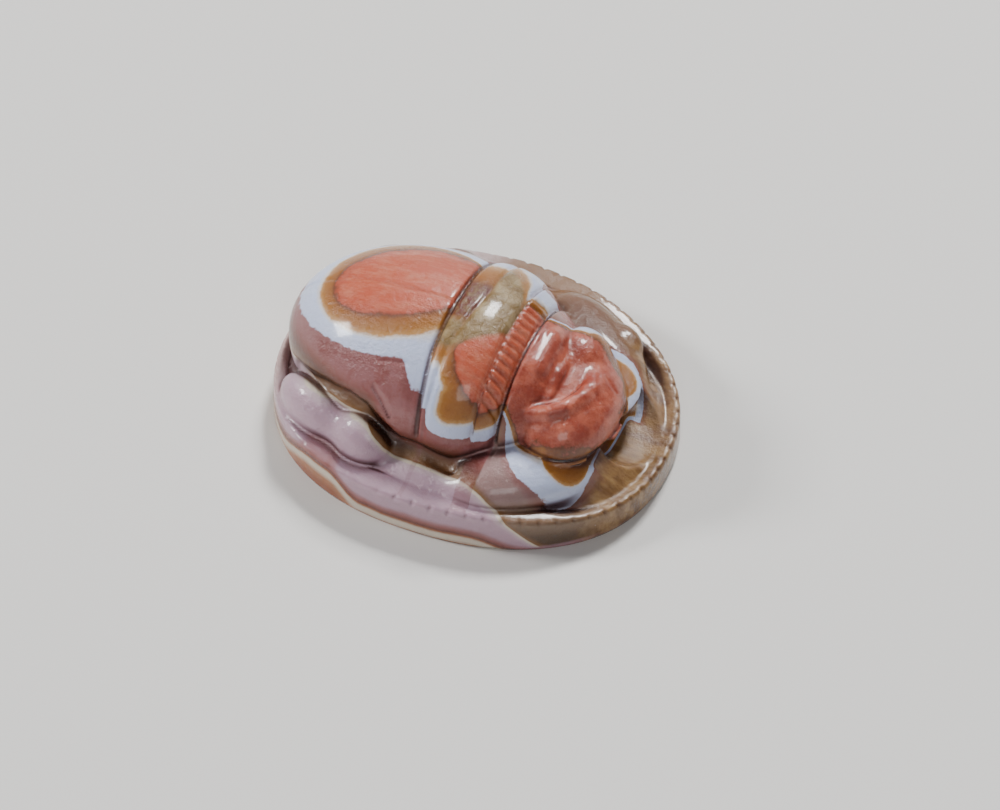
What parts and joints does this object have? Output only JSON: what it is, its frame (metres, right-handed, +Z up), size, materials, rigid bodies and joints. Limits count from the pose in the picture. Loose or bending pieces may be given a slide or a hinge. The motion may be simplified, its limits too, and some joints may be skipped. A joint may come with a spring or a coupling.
{
  "type": "carved scarab seal",
  "caption": "Carved beetle seal of banded agate with folded legs on an oval plinth with a notched rim, flat underneath to rest on a surface.",
  "frame": {"origin": "middle of the flat underside, where the seal rests", "axes": "+X along the length towards the beetle's head, +Y across to the beetle's left side, +Z up through its back"},
  "size_m": [0.017, 0.0138, 0.007],
  "materials": {
    "agate": "polished, banded red, amber, white and pink"
  },
  "bodies": {
    "root": {"scarab": "agate"}
  },
  "joints": []
}
